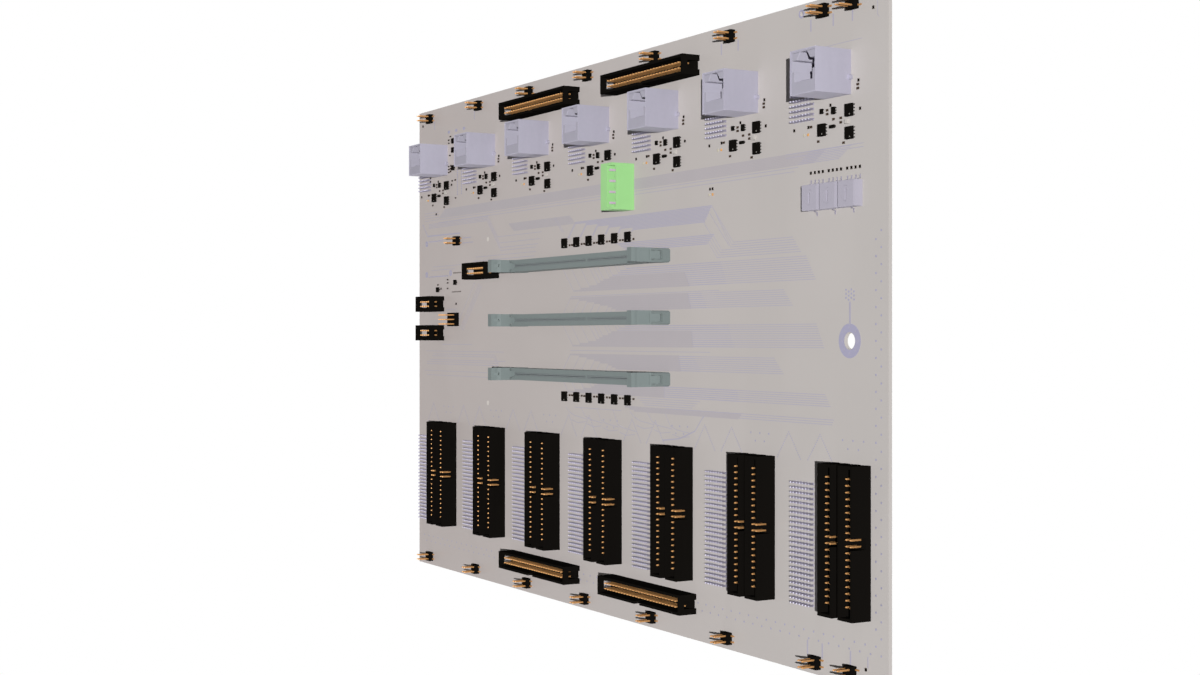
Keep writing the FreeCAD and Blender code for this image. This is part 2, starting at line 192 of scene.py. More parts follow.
def laminate():
    """Pale solder mask over glass cloth: a tone that warms to the left, soft patches and a faint weave."""
    finish = Finish("laminate", (189, 184, 181), 0.4, specular=0.12)
    warm_mask, mask = paint(187, 178, 175), finish.colour
    along = finish.node("ShaderNodeSeparateXYZ", {"Vector": finish.place}, "X") * (1 / BOARD_LENGTH) + 0.5
    darker, lighter = [
        finish.blend(along, finish.shade(warm_mask, change), finish.shade(mask, change))
        for change in MASK_PATCHES
    ]
    finish.feed({"Base Color": finish.blend(finish.noise(55.0, 1.0), darker, lighter)})
    finish.gloss(0.34, 0.46, 20.0)
    wave = {"Vector": finish.place, "Scale": CLOTH_WAVES}
    warp, weft = [finish.node("ShaderNodeTexWave", wave, "Fac", bands_direction=axis) for axis in "XZ"]
    return finish.bump(warp + weft + finish.noise(0.4), 0.004, 0.25)


LAMINATE = laminate()
TINNED = plated("tinned_sheet", (186, 183, 197), 0.68, metallic=0.6, stretch=(1, 1, 0.15))
SWITCH_GREY = moulded("switch_grey", (174, 170, 182), 0.6, specular=0.1)
INSERT = moulded("jack_insert", (178, 175, 188), 0.6, specular=0.1, matt=0.35)
BUS_GREY = moulded("bus_grey", (174, 170, 182), 0.6, specular=0.1)
BLACK = moulded("black_plastic", (19, 17, 15), 0.55, specular=0.0)
GOLD = plated("gold_plating", (208, 156, 98), 0.5, metallic=0.6)
SOLDER = plated("solder", (176, 172, 188), 0.62)
GREEN = moulded("green_plastic", (157, 209, 141), 0.4, specular=0.1)
LILAC_PIN = plated("terminal_tin", (208, 188, 206), 0.5, metallic=0.2)
TEAL = moulded("teal_plastic", (123, 132, 131), 0.5, specular=0.1)
LATCH = moulded("latch_plastic", (130, 140, 139), 0.45, specular=0.1, matt=0.25)
EPOXY = moulded("package_epoxy", (20, 18, 16), 0.55, specular=0.0)
DARK_LEAD = plated("dark_leads", (44, 41, 38), 0.45)
SOCKET_TIN = plated("socket_tin", (121, 128, 129), 0.6, metallic=0.3)
MARK = moulded("package_mark", (150, 146, 140), 0.6)
DENSE_COPPER = Finish("dense_copper", (178, 172, 176), 0.4, specular=0.12).mottle(12.0, 0.02)
COPPER = Finish("masked_copper", (173, 169, 184), 0.4, specular=0.12).mottle(12.0, 0.02)
PAD = plated("bare_pad", (167, 164, 187), 0.6, metallic=0.3)
FIDUCIAL = plated("fiducial", (206, 200, 194), 0.4)
CERAMIC = moulded("capacitor_ceramic", (58, 36, 18), 0.5, specular=0.1)
CAP_END = plated("component_ends", (52, 38, 26), 0.5, metallic=0.4)
CERAMIC_WHITE = moulded("ceramic_white", (190, 185, 180), 0.5, specular=0.1)
ORANGE = moulded("orange_lens", (216, 162, 98), 0.35, specular=0.1)
PALE = moulded("pale_lens", (192, 186, 168), 0.35, specular=0.1)


def dress(finish, *names):
    """Gives carried-over nodes their finish."""
    for name in names:
        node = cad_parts[name]
        node.data.materials.clear()
        node.data.materials.append(finish.material)


def nodes_of(stem):
    return [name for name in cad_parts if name.startswith(stem)]


dress(LAMINATE, "board")
dress(TINNED, *nodes_of("jack_shell"))
dress(INSERT, *nodes_of("jack_insert"))
dress(SWITCH_GREY, *nodes_of("code_switch"), *nodes_of("switch_rotor"))
dress(BUS_GREY, *nodes_of("bus_connectors"))
dress(BLACK, *nodes_of("forty_way"), *nodes_of("fifty_way"), *nodes_of("ten_way"), "sixteen_way_header")
dress(BLACK, "pin_header_blocks", "jumper_block")
dress(GREEN, "terminal_header")
dress(LILAC_PIN, "terminal_pins")
dress(TEAL, *nodes_of("memory_socket"))
dress(LATCH, *nodes_of("latch_"))


# ------------------------------------------------------------------------------------ workbench
def only(thing):
    """Makes the thing the one selected and active object."""
    bpy.ops.object.select_all(action="DESELECT")
    thing.select_set(True)
    bpy.context.view_layer.objects.active = thing


def settled(name):
    """The primitive just added, with its place and size taken into its mesh."""
    thing = bpy.context.object
    thing.name = name
    bpy.ops.object.transform_apply(location=True, rotation=True, scale=True)
    return thing


def block(name, size, middle):
    """A box of a size round its middle point, both in millimetres."""
    bpy.ops.object.select_all(action="DESELECT")
    bpy.ops.mesh.primitive_cube_add(size=1, location=Vector(middle) * MM, scale=Vector(size) * MM)
    return settled(name)


def disc(name, radius, height, middle, sides=16):
    """A short cylinder whose lower face is at the middle point."""
    bpy.ops.object.select_all(action="DESELECT")
    place = Vector(middle) + Vector((0, 0, height / 2))
    bpy.ops.mesh.primitive_cylinder_add(
        vertices=sides, radius=radius * MM, depth=height * MM, location=place * MM
    )
    return settled(name)


def clear_selection(thing, kind):
    """Leaves nothing of the thing selected, and sets whether points or faces are picked."""
    only(thing)
    bpy.ops.object.mode_set(mode="EDIT")
    bpy.ops.mesh.select_mode(type=kind)
    bpy.ops.mesh.select_all(action="DESELECT")
    bpy.ops.object.mode_set(mode="OBJECT")


def pick_faces(thing, test):
    """Edit mode, with the faces selected whose middle (in millimetres) and normal pass the test."""
    clear_selection(thing, "FACE")
    for face in thing.data.polygons:
        face.select = test(face.center / MM, face.normal)
    bpy.ops.object.mode_set(mode="EDIT")


def pick_points(thing, test):
    """Edit mode, with the points selected whose place (in millimetres) passes the test."""
    clear_selection(thing, "VERT")
    for point in thing.data.vertices:
        point.select = test(point.co / MM)
    bpy.ops.object.mode_set(mode="EDIT")


def done():
    bpy.ops.object.mode_set(mode="OBJECT")


def push(x, y, z):
    """Extrudes the selection by a step in millimetres."""
    bpy.ops.mesh.extrude_region_move(TRANSFORM_OT_translate={"value": Vector((x, y, z)) * MM})


def face_outward(thing):
    """Turns every normal of the thing outward."""
    only(thing)
    bpy.ops.object.mode_set(mode="EDIT")
    bpy.ops.mesh.select_all(action="SELECT")
    bpy.ops.mesh.normals_make_consistent(inside=False)
    done()


def upward(middle, normal):
    return normal.z > 0.9


def apply_modifier(thing, kind, **settings):
    modifier = thing.modifiers.new(kind, kind)
    for key, value in settings.items():
        setattr(modifier, key, value)
    only(thing)
    bpy.ops.object.modifier_apply(modifier=modifier.name)


def soften(thing, width, segments=2):
    """Rounds every sharp edge by a width in millimetres."""
    apply_modifier(thing, "BEVEL", width=width * MM, segments=segments, limit_method="ANGLE")


def joined(things):
    """The things as one object."""
    only(things[0])
    for thing in things[1:]:
        thing.select_set(True)
    if len(things) > 1:
        bpy.ops.object.join()
    return things[0]


def shift(thing, x, y, z=0):
    """Moves the mesh of a thing by a step in millimetres."""
    thing.data.transform(Matrix.Translation(Vector((x, y, z)) * MM))


def in_rows(thing, *rows):
    """Repeats the thing in rows of (count, step in millimetres)."""
    for count, step in rows:
        apply_modifier(
            thing,
            "ARRAY",
            count=count,
            use_relative_offset=False,
            use_constant_offset=True,
            constant_offset_displace=Vector(step) * MM,
        )
    return thing


def centred_rows(thing, *rows):
    """Repeats the thing in rows of (count, step in millimetres) on both sides of its place."""
    for count, step in rows:
        shift(thing, *(-(count - 1) / 2 * length for length in step))
    return in_rows(thing, *rows)


def bent_strip(name, width, thickness, path):
    """A flat strip along a path of (x, z) points, as wide along y as stated."""
    (x, z), rest = path[0], path[1:]
    bpy.ops.object.select_all(action="DESELECT")
    bpy.ops.mesh.primitive_plane_add(size=width * MM, location=Vector((x, 0, z)) * MM)
    strip = settled(name)
    pick_points(strip, lambda place: place.x < path[0][0])
    bpy.ops.mesh.delete(type="VERT")
    bpy.ops.mesh.select_all(action="SELECT")
    bpy.ops.transform.translate(value=(-width * MM / 2, 0, 0))
    for end_x, end_z in rest:
        push(end_x - x, 0, end_z - z)
        x, z = end_x, end_z
    done()
    apply_modifier(strip, "SOLIDIFY", thickness=thickness * MM, offset=0, use_even_offset=True)
    face_outward(strip)
    return strip


BOARD_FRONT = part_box("board")[0][1]
FRONT = Matrix(((1, 0, 0, 0), (0, 0, -1, BOARD_FRONT), (0, 1, 0, 0), (0, 0, 0, 1)))
REAR = Matrix(((-1, 0, 0, 0), (0, 0, 1, 0), (0, 1, 0, 0), (0, 0, 0, 1)))


def seated(thing, x, z, turn=0, face=FRONT):
    """A copy with its own mesh, set on a face of the board at x and z in millimetres."""
    copy = thing.copy()
    copy.data = thing.data.copy()
    bpy.context.scene.collection.objects.link(copy)
    place = Matrix.Translation(Vector((x, 0, z)) * MM)
    copy.data.transform(place @ face @ Matrix.Rotation(math.radians(turn), 4, "Z"))
    return copy


def stand_all(things):
    """Turns things modelled flat at their own places onto the front of the board."""
    for thing in things:
        thing.data.transform(FRONT)
    return things


def stand(thing, places, face=FRONT):
    """Copies of a footprint at all its places, given as (x, z) or (x, z, turn)."""
    copies = [seated(thing, *place, face=face) for place in places]
    bpy.data.objects.remove(thing)
    return copies


def piece(name, things, finish, body="board", stands_for=()):
    """Joins things into one piece of the board, with its finish."""
    whole = joined(things)
    whole.name = name
    whole.data.name = name
    whole.data.materials.clear()
    whole.data.materials.append(finish.material)
    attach(whole, body)
    if stands_for:
        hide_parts(*stands_for)


# ---------------------------------------------------------------------------------- where it is
def box_mm(node):
    """The lowest and highest corner of a node's box, in millimetres."""
    low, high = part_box(node)
    return Vector(low) / MM, Vector(high) / MM


def middle_of(node):
    """The middle of a node's box on the board: x and z in millimetres."""
    low, high = box_mm(node)
    return (low.x + high.x) / 2, (low.z + high.z) / 2


BOARD_LOW, BOARD_HIGH = box_mm("board")
JACKS = {slot: middle_of(f"jack_insert_{slot}") for slot in SLOTS}
JACK_OFFSET = 0.8
SLOT_X = {slot: JACKS[slot][0] - JACK_OFFSET for slot in SLOTS}


# ------------------------------------------------------------------------ pins of shrouded headers
PIN_SIDE = 0.64
HALF_HEADER = 4.4
HEADER_PIN_ROOT, HEADER_PIN_TOP, DEEP_PIN_TOP = 2.2, 8.2, 7.6
PIN_FOOT, JOINT_HEIGHT = 0.1, 1.5
JOINT_PAD, BLUNT_TIP = 0.08, 0.3
TIP_TAPER, CONE_TAPER = 0.45, 0.55


def square_pin(name, side, bottom, top, taper=0.5):
    """A square pin with a coined tip."""
    length = top - bottom - taper
    pin = block(name, (side, side, length), (0, 0, bottom + length / 2))
    pick_faces(pin, upward)
    push(0, 0, taper)
    bpy.ops.transform.resize(value=(TIP_TAPER, TIP_TAPER, 1))
    done()
    return pin


def solder_joint(name, pin_side, pin_height, radius=0.78, rise=0.55):
    """A cone of solder round the end of a pin, on a low pad."""
    cone = disc(name, radius, JOINT_PAD, (0, 0, 0), 8)
    pick_faces(cone, upward)
    push(0, 0, rise)
    bpy.ops.transform.resize(value=(CONE_TAPER, CONE_TAPER, 1))
    done()
    return joined([cone, square_pin("pin_end", pin_side, PIN_FOOT, pin_height, BLUNT_TIP)])


def pin_field(pin, columns, rows, pitch=PITCH):
    """Repeats a pin about the origin: columns along x and rows along y."""
    return centred_rows(pin, (columns, (pitch, 0, 0)), (rows, (0, pitch, 0)))


def header_fields():
    """Every shrouded header: its columns, the top of its pins and its places."""
    forty = []
    for slot in SLOTS:
        low, high = box_mm(f"forty_way_headers_{slot}")
        level = (low.z + high.z) / 2
        forty += [(low.x + HALF_HEADER, level, 90), (high.x - HALF_HEADER, level, 90)]
    fifty = [middle_of(name) for name in nodes_of("fifty_way")]
    ten = [middle_of(name) for name in nodes_of("ten_way")]
    return {
        "forty_way": (20, DEEP_PIN_TOP, forty),
        "fifty_way": (25, HEADER_PIN_TOP, fifty),
        "ten_way": (5, HEADER_PIN_TOP, ten),
        "sixteen_way": (8, HEADER_PIN_TOP, [middle_of("sixteen_way_header")]),
    }


joints_behind = []
for name, (columns, pin_top, places) in header_fields().items():
    pins = pin_field(square_pin("pin", PIN_SIDE, HEADER_PIN_ROOT, pin_top), columns, 2)
    piece(f"{name}_pins", stand(pins, places), GOLD)
    ends = pin_field(solder_joint("joint", PIN_SIDE, JOINT_HEIGHT), columns, 2)
    joints_behind += [seated(ends, *place, face=REAR) for place in places]
    bpy.data.objects.remove(ends)


# -------------------------------------------------------------------------- drive connector pins
BUS_COLUMNS, LONG_ROWS, SHORT_ROWS = 7, 25, 11
BUS_TAIL_SIDE, BUS_TAIL_TOP = 0.66, 2.6
BUS_PIN_SIDE, BUS_PIN_ROOT, BUS_PIN_TOP = 0.5, 2.4, 8.8
bus_tails, bus_pins = [], []
for rows, at_top in ((LONG_ROWS, False), (SHORT_ROWS, True)):
    tail = solder_joint("tail", BUS_TAIL_SIDE, BUS_TAIL_TOP, 0.6, 0.12)
    tails = pin_field(tail, BUS_COLUMNS, rows, BUS_PITCH)
    pin = square_pin("contact", BUS_PIN_SIDE, BUS_PIN_ROOT, BUS_PIN_TOP)
    pins = pin_field(pin, BUS_COLUMNS, rows, BUS_PITCH)
    for slot in SLOTS:
        low, high = box_mm(f"bus_connectors_{slot}")
        level = high.z - rows if at_top else low.z + rows
        x = (low.x + high.x) / 2
        bus_tails.append(seated(tails, x, level))
        bus_pins.append(seated(pins, x, level, face=REAR))
    bpy.data.objects.remove(tails)
    bpy.data.objects.remove(pins)
piece("bus_connector_tails", bus_tails, SOLDER)
piece("bus_connector_pins", bus_pins, GOLD)


# ---------------------------------------------------------------------------- pin header blocks
BLOCK_PIN_TOP = 8.6
FOOT_REACH, FOOT_THICKNESS = 1.8, 0.5
FOOT_ROOT_LEVEL, FOOT_LEVEL = 0.45, 0.34
JUMPER_COLUMNS, JUMPER_ROWS = 4, 3


def edge_posts():
    """The four posts of one block, each with its foot along the board."""
    posts = []
    half = PITCH / 2
    for side in (-1, 1):
        for row in (-1, 1):
            post = square_pin("post", PIN_SIDE, PIN_FOOT, BLOCK_PIN_TOP)
            shift(post, side * half, row * half)
            end = side * (PITCH + FOOT_REACH)
            path = [
                (side * half, FOOT_ROOT_LEVEL),
                (side * PITCH, FOOT_ROOT_LEVEL),
                (end - side * 0.3, FOOT_LEVEL),
                (end, FOOT_LEVEL),
            ]
            foot = bent_strip("foot", PIN_SIDE, FOOT_THICKNESS, path)
            shift(foot, 0, row * half)
            posts += [post, foot]
    return joined(posts)


TOP_BLOCK_OFFSETS = (-13.96, -10.22, -10.88, -10.64, -9.8, -10.46, -7.32)
BOTTOM_BLOCK_OFFSETS = (-13.96, -13.72, -13.48, -13.54, -12.7, -12.76, -12.52)
BLOCK_LOW, BLOCK_HIGH = box_mm("pin_header_blocks")
TOP_BLOCK_Z = BLOCK_HIGH.z - PITCH
BOTTOM_BLOCK_Z = BLOCK_LOW.z + PITCH
block_places = [(193.76, TOP_BLOCK_Z), (192.36, BOTTOM_BLOCK_Z), (-159.84, 54.5)]
for slot in SLOTS:
    block_places.append((SLOT_X[slot] + TOP_BLOCK_OFFSETS[slot - 1], TOP_BLOCK_Z))
    block_places.append((SLOT_X[slot] + BOTTOM_BLOCK_OFFSETS[slot - 1], BOTTOM_BLOCK_Z))
posts = stand(edge_posts(), block_places)
jumper_post = square_pin("post", PIN_SIDE, PIN_FOOT, BLOCK_PIN_TOP)
jumper_posts = pin_field(jumper_post, JUMPER_COLUMNS, JUMPER_ROWS)
posts += stand(jumper_posts, [middle_of("jumper_block")])
piece("pin_header_posts", posts, GOLD, stands_for=["pin_header_pins"])


# ----------------------------------------------------------------------------- inside the jacks
LEAVES, LEAF_PITCH = 8, 1.02
LEAF_WIDTH, LEAF_THICKNESS = 0.46, 0.2
LEAF_PATH = [(-3.2, 15.2), (-3.0, 14.4), (-2.6, 11.4), (-2.0, 8.2), (-1.7, 6.8), (-2.1, 6.0)]
MOUTH_HALF = 7.1
MOUTH_FLOOR, MOUTH_CEILING = -3.6, 7.6
MOUTH_BACK, MOUTH_FRONT = 4.4, 16.7
GUIDE_WIDTH, GUIDE_TOP = 1.5, 0.5
SHOULDER_LEVEL = 4.7
SHOULDER_LOW_WIDTH, SHOULDER_HIGH_WIDTH = 3.0, 5.1


def jack_guides(side):
    """One side of a mouth: a rail along its floor, and a shoulder that leans in beside the tab's slot."""
    depth, level = MOUTH_FRONT - MOUTH_BACK, (MOUTH_FRONT + MOUTH_BACK) / 2
    rail_height = GUIDE_TOP - MOUTH_FLOOR
    rail_x = side * (MOUTH_HALF - GUIDE_WIDTH / 2)
    rail = block("rail", (GUIDE_WIDTH, rail_height, depth), (rail_x, MOUTH_FLOOR + rail_height / 2, level))
    soften(rail, 0.12)
    height = MOUTH_CEILING - SHOULDER_LEVEL
    x = side * (MOUTH_HALF - SHOULDER_LOW_WIDTH / 2)
    middle_level = SHOULDER_LEVEL + height / 2
    shoulder = block("shoulder", (SHOULDER_LOW_WIDTH, height, depth), (x, middle_level, level))
    lean = SHOULDER_HIGH_WIDTH - SHOULDER_LOW_WIDTH
    pick_points(shoulder, lambda place: place.x * side < x * side and place.y > middle_level)
    bpy.ops.transform.translate(value=(-side * lean * MM, 0, 0))
    done()
    soften(shoulder, 0.3, 3)
    return [rail, shoulder]


leaf = bent_strip("leaf", LEAF_WIDTH, LEAF_THICKNESS, LEAF_PATH)
leaves = centred_rows(leaf, (LEAVES, (0, LEAF_PITCH, 0)))
piece("jack_contacts", stand(leaves, [(*JACKS[slot], 90) for slot in SLOTS]), SOLDER)
guides = []
for side in (-1, 1):
    for part in jack_guides(side):
        guides += stand(part, JACKS.values())
piece("jack_guides", guides, INSERT)


# --------------------------------------------------------------------------------- packages
# Sizes across the leads, along the row of leads, and in height.
SOIC = (3.9, 4.9, 1.5)
SMALL = (1.6, 2.9, 1.1)
TRANSISTOR = (1.3, 2.0, 1.0)
DIODE = (2.9, 1.3, 1.0)
POWER_TRANSISTOR = (2.4, 2.9, 1.2)
STANDOFF = 0.1
LEAD_THICKNESS = 0.18
LEAD_LEVEL, LEAD_KNEE, LEAD_TOE = 0.75, 0.14, 0.12
DRIVERS, DRIVER_PITCH, DRIVER_MIDDLE = 6, 12.26, -3.7
DRIVER_LEVELS = (47.0, -29.3)


def package_body(size):
    """A moulded body: its upper half drafted, its edges softened."""
    width, depth, height = size
    body = block("body", (width, depth, height / 2), (0, 0, STANDOFF + height / 4))
    pick_faces(body, upward)
    push(0, 0, height / 2)
    bpy.ops.transform.resize(value=(0.94, 0.95, 1))
    done()
    soften(body, 0.08, 1)
    return body


def gull_leads(half_width, count, pitch, reach, lead_width):
    """A row of gull-wing leads out of each side of a body."""
    sides = []
    for side in (-1, 1):
        path = [
            (side * (half_width - 0.2), LEAD_LEVEL),
            (side * (half_width + 0.15), LEAD_LEVEL),
            (side * (half_width + 0.25), LEAD_KNEE),
            (side * reach, LEAD_TOE),
        ]
        lead = bent_strip("lead", lead_width, LEAD_THICKNESS, path)
        sides.append(centred_rows(lead, (count, (0, pitch, 0))))
    return joined(sides)


def slot_places(*offsets):
    """The places (x, z) at each slot, from how far each lies from the slot's middle."""
    return [(SLOT_X[slot] + x, z) for slot in SLOTS for x, z in offsets]


driver_places = [
    (DRIVER_MIDDLE + (index - (DRIVERS - 1) / 2) * DRIVER_PITCH, level)
    for level in DRIVER_LEVELS
    for index in range(DRIVERS)
]
soic_places = slot_places((8.5, 86.9), (8.6, 78.2), (-8.5, 81.0))
power_places = [(-165.9, 111.6), (-165.9, 106.4), (-165.9, 96.3), (-163.0, 31.2), (-186.5, 27.6)]
# Each package: its size, its leads (how many a side, their pitch, reach and width), and its places.
PACKAGES = (
    (SOIC, (4, 1.27, 2.55, 0.42), soic_places),
    (SOIC, (4, 1.27, 2.15, 0.42), driver_places),
    (SMALL, (3, 0.95, 1.35, 0.4), slot_places((-1.4, 87.8))),
    (TRANSISTOR, (2, 1.2, 0.95, 0.4), slot_places((-8.9, 88.3))),
    (DIODE, (1, 1.0, 1.75, 0.6), slot_places((-2.2, 81.7))),
    (POWER_TRANSISTOR, (1, 1.0, 1.7, 1.0), power_places),
)
bodies, leads = [], []
for size, lead_row, places in PACKAGES:
    bodies += stand(package_body(size), places)
    leads += stand(gull_leads(size[0] / 2, *lead_row), places)
piece("package_bodies", bodies, EPOXY, stands_for=["chip_packages"])
piece("package_leads", leads, DARK_LEAD)
mark = disc("mark", 0.28, 0.02, (1.15, -1.7, STANDOFF + SOIC[2]), 12)
piece("package_marks", stand(mark, soic_places + driver_places), MARK)


# ----------------------------------------------------------------------- chip resistors and lamps
CHIP = (0.8, 1.2, 0.5)
CAPACITOR = (0.95, 1.15, 0.5)
CHIP_LIFT, CHIP_BODY_LIFT = 0.02, 0.03
BODY_WIDTH_SHARE, BODY_HEIGHT_SHARE, CAP_SHARE = 0.92, 0.94, 0.2


def chip_parts(size):
    """A small two-ended part: its body, and its two end caps."""
    width, length, height = size
    body_length, body_height = length * (1 - 2 * CAP_SHARE), height * BODY_HEIGHT_SHARE
    body_size = (width * BODY_WIDTH_SHARE, body_length, body_height)
    body = block("chip", body_size, (0, 0, body_height / 2 + CHIP_BODY_LIFT))
    soften(body, 0.04, 1)
    caps = block("caps", (width, length * CAP_SHARE, height), (0, 0, height / 2 + CHIP_LIFT))
    soften(caps, 0.05, 1)
    return body, centred_rows(caps, (2, (0, length * (1 - CAP_SHARE), 0)))


BLACK_CHIPS = ((-3.6, 90.1), (-27.0, 82.7), (-17.7, 83.0), (14.5, 86.8), (13.5, 97.6))
BROWN_CHIPS = (
    (-5.7, 88.4), (-5.7, 86.9), (-1.7, 84.5), (2.8, 84.5), (2.8, 82.8),
    (-16.0, 83.0), (-11.3, 76.8), (4.5, 74.8), (13.1, 96.1), (13.1, 94.6),
)
SWITCHES = [middle_of(f"code_switch_{index}") for index in (1, 2, 3)]
SWITCH_LEADS = 4
RESISTORS_ABOVE_SWITCH = 10.0
resistor_places = [
    (x + (index - (SWITCH_LEADS - 1) / 2) * PITCH, z + RESISTORS_ABOVE_SWITCH)
    for x, z in SWITCHES
    for index in range(SWITCH_LEADS)
]
side_places = [
    (205.2, 123.7), (200.8, -125.2), (-208.2, 124.3), (95.4, 64.0), (97.4, 64.0), (-189.3, 71.3),
    (-172.1, 112.5, 90), (-172.1, 110.8, 90), (-172.1, 97.5, 90), (-172.1, 95.8, 90), (-172.1, 94.1, 90),
    (-170, 114.4, 90), (-170.8, 103.7, 90), (-163, 79, 90), (-167.4, 89, 90), (-163.5, 89.2, 90),
    (-197.5, 92.9, 90), (-197.5, 90.8, 90), (-173.7, 33.0, 90), (-173.7, 31.2, 90), (-173.7, 28.0, 90),
    (-182.7, 28.1), (-186.9, 30.4, 90), (-162.2, 19.1),
]
black_places = slot_places(*BLACK_CHIPS) + resistor_places + side_places
UPPER_DROP, LOWER_RISE = -1.2, 0.7
FIRST_CHIP, SECOND_CHIP = 4.6, 7.1
driver_chips = [
    (x + reach, z + (UPPER_DROP if z > 0 else LOWER_RISE))
    for x, z in driver_places
    for reach in (FIRST_CHIP, SECOND_CHIP)
    if x + reach < driver_places[-1][0] + SECOND_CHIP
]
brown_places = slot_places(*BROWN_CHIPS) + driver_chips
body, caps = chip_parts(CHIP)
ends = stand(caps, black_places)
piece("resistor_bodies", stand(body, black_places), EPOXY)
body, caps = chip_parts(CAPACITOR)
lying = [(x, z, 90) for x, z in brown_places]
piece("capacitor_bodies", stand(body, lying), CERAMIC)
piece("chip_ends", ends + stand(caps, lying), CAP_END)


def small_block(name, size, places, finish, edge):
    """A softened block at each of its places."""
    solid = block("block", size, (0, 0, size[2] / 2 + CHIP_LIFT))
    soften(solid, edge)
    piece(name, stand(solid, places), finish)


LENS = (0.8, 1.05, 0.5)
LAMP_LEVEL = 80.1
LONE_PAIR_X, LONE_PAIR_LEVEL = 115.3, 61.6
for name, offset, finish in (("orange_lamps", -17.9, ORANGE), ("pale_lamps", -20.4, PALE)):
    places = slot_places((offset, LAMP_LEVEL)) + [(offset + LONE_PAIR_X, LONE_PAIR_LEVEL)]
    small_block(name, LENS, places, finish, 0.12)
small_block("pale_inductors", (1.6, 1.8, 1.2), slot_places((6.9, 82.7)), CERAMIC_WHITE, 0.15)


# ------------------------------------------------------------------------ memory socket contacts
CONTACT_ROW = (126, (1.0, 0, 0))
SLOT_HALF = 0.75
CONTACT_FOOT, CONTACT_TOP = 4.0, 9.3
CONTACT_BULGE, CONTACT_CREST = 0.68, 0.25
contact_size = (0.8, CONTACT_BULGE, CONTACT_TOP - CONTACT_FOOT)
contact = block("contact", contact_size, (0, 0, (CONTACT_FOOT + CONTACT_TOP) / 2))
pick_faces(contact, upward)
push(0, 0, CONTACT_CREST)
bpy.ops.transform.resize(value=(1, 0.7, 1))
done()
centred_rows(contact, (2, (0, 2 * SLOT_HALF - CONTACT_BULGE, 0)), CONTACT_ROW)
sockets = [middle_of(f"memory_socket_{name}") for name in ("top", "middle", "bottom")]
piece("memory_socket_contacts", stand(contact, sockets), SOCKET_TIN)
socket_joint = centred_rows(solder_joint("joint", 0.35, 1.0, 0.45, 0.4), CONTACT_ROW, (2, (0, 2.6, 0)))
joints_behind += stand(socket_joint, sockets, REAR)


# ---------------------------------------------------------------------------- pips on the latches
THUMB_REACH = 0.4
PIP_LEVEL = 6.9
PIP_RIM, PIP_DEPTH = 0.16, 0.12
SOCKET_X = sockets[0][0]


def latch_pip(name):
    """A small hollow ring moulded on the outer face of a latch's blade."""
    low, high = box_mm(name)
    side = 1 if low.x > SOCKET_X else -1
    face = max(side * low.x, side * high.x) - THUMB_REACH
    pip = disc("pip", 0.45, 0.16, (0, 0, -0.02), 12)
    pick_faces(pip, upward)
    bpy.ops.mesh.inset(thickness=PIP_RIM * MM)
    push(0, 0, -PIP_DEPTH)
    done()
    pip.data.transform(Matrix.Rotation(math.radians(90 * side), 4, "Y"))
    shift(pip, side * face, BOARD_FRONT / MM - PIP_LEVEL, (low.z + high.z) / 2)
    piece(f"{name}_pip", [pip], LATCH, body=name)


for name in nodes_of("latch_"):
    latch_pip(name)


# ------------------------------------------------------------ switch leads, and joints behind
SWITCH_LEAD_WIDTH, SWITCH_LEAD_THICKNESS = 0.5, 0.2
SWITCH_LEAD = [(4.9, 1.2), (5.4, 1.2), (5.7, 0.14), (7.2, 0.12)]
JACK_JOINT_LEVEL = -2.5
TERMINALS, TERMINAL_SIDE = 4, 1.0


def switch_leads(count, turn):
    """The leads along one side of every code switch."""
    lead = bent_strip("lead", SWITCH_LEAD_WIDTH, SWITCH_LEAD_THICKNESS, SWITCH_LEAD)
    leads = centred_rows(lead, (count, (0, PITCH, 0)))
    return stand(leads, [(x, z, turn) for x, z in SWITCHES])


piece("code_switch_leads", switch_leads(SWITCH_LEADS, 90) + switch_leads(1, -90), SOLDER)

jack_joint = solder_joint("joint", 0.45, 1.6, 0.6, 0.5)
shift(jack_joint, -(LEAVES - 1) / 2 * LEAF_PITCH, JACK_JOINT_LEVEL)
in_rows(jack_joint, (LEAVES // 2, (2 * LEAF_PITCH, 0, 0)), (2, (LEAF_PITCH, PITCH, 0)))
joints_behind += stand(jack_joint, JACKS.values(), REAR)
jumper_joints = pin_field(solder_joint("joint", PIN_SIDE, JOINT_HEIGHT), JUMPER_COLUMNS, JUMPER_ROWS)
joints_behind += stand(jumper_joints, [middle_of("jumper_block")], REAR)
terminal_low, terminal_high = box_mm("terminal_pins")
terminal_pitch = (terminal_high.z - terminal_low.z - TERMINAL_SIDE) / (TERMINALS - 1)
terminal_joint = solder_joint("joint", TERMINAL_SIDE, 2.0, 1.3, 0.8)
centred_rows(terminal_joint, (TERMINALS, (0, terminal_pitch, 0)))
joints_behind += stand(terminal_joint, [middle_of("terminal_pins")], REAR)
piece("solder_joints", joints_behind, SOLDER)


# ------------------------------------------------------------------------------- printed tracks
TRACK_HEIGHT = 0.04
TRACK_LAYERS, LAYER_RISE = 20, 0.003
THIN, FINE, MEDIUM, BUNDLED, DENSE = 0.22, 0.26, 0.38, 0.56, 0.86
STUB, BROAD = 0.5, 0.8
PAD_HEIGHT = 0.06
tracks, dense_tracks = [], []


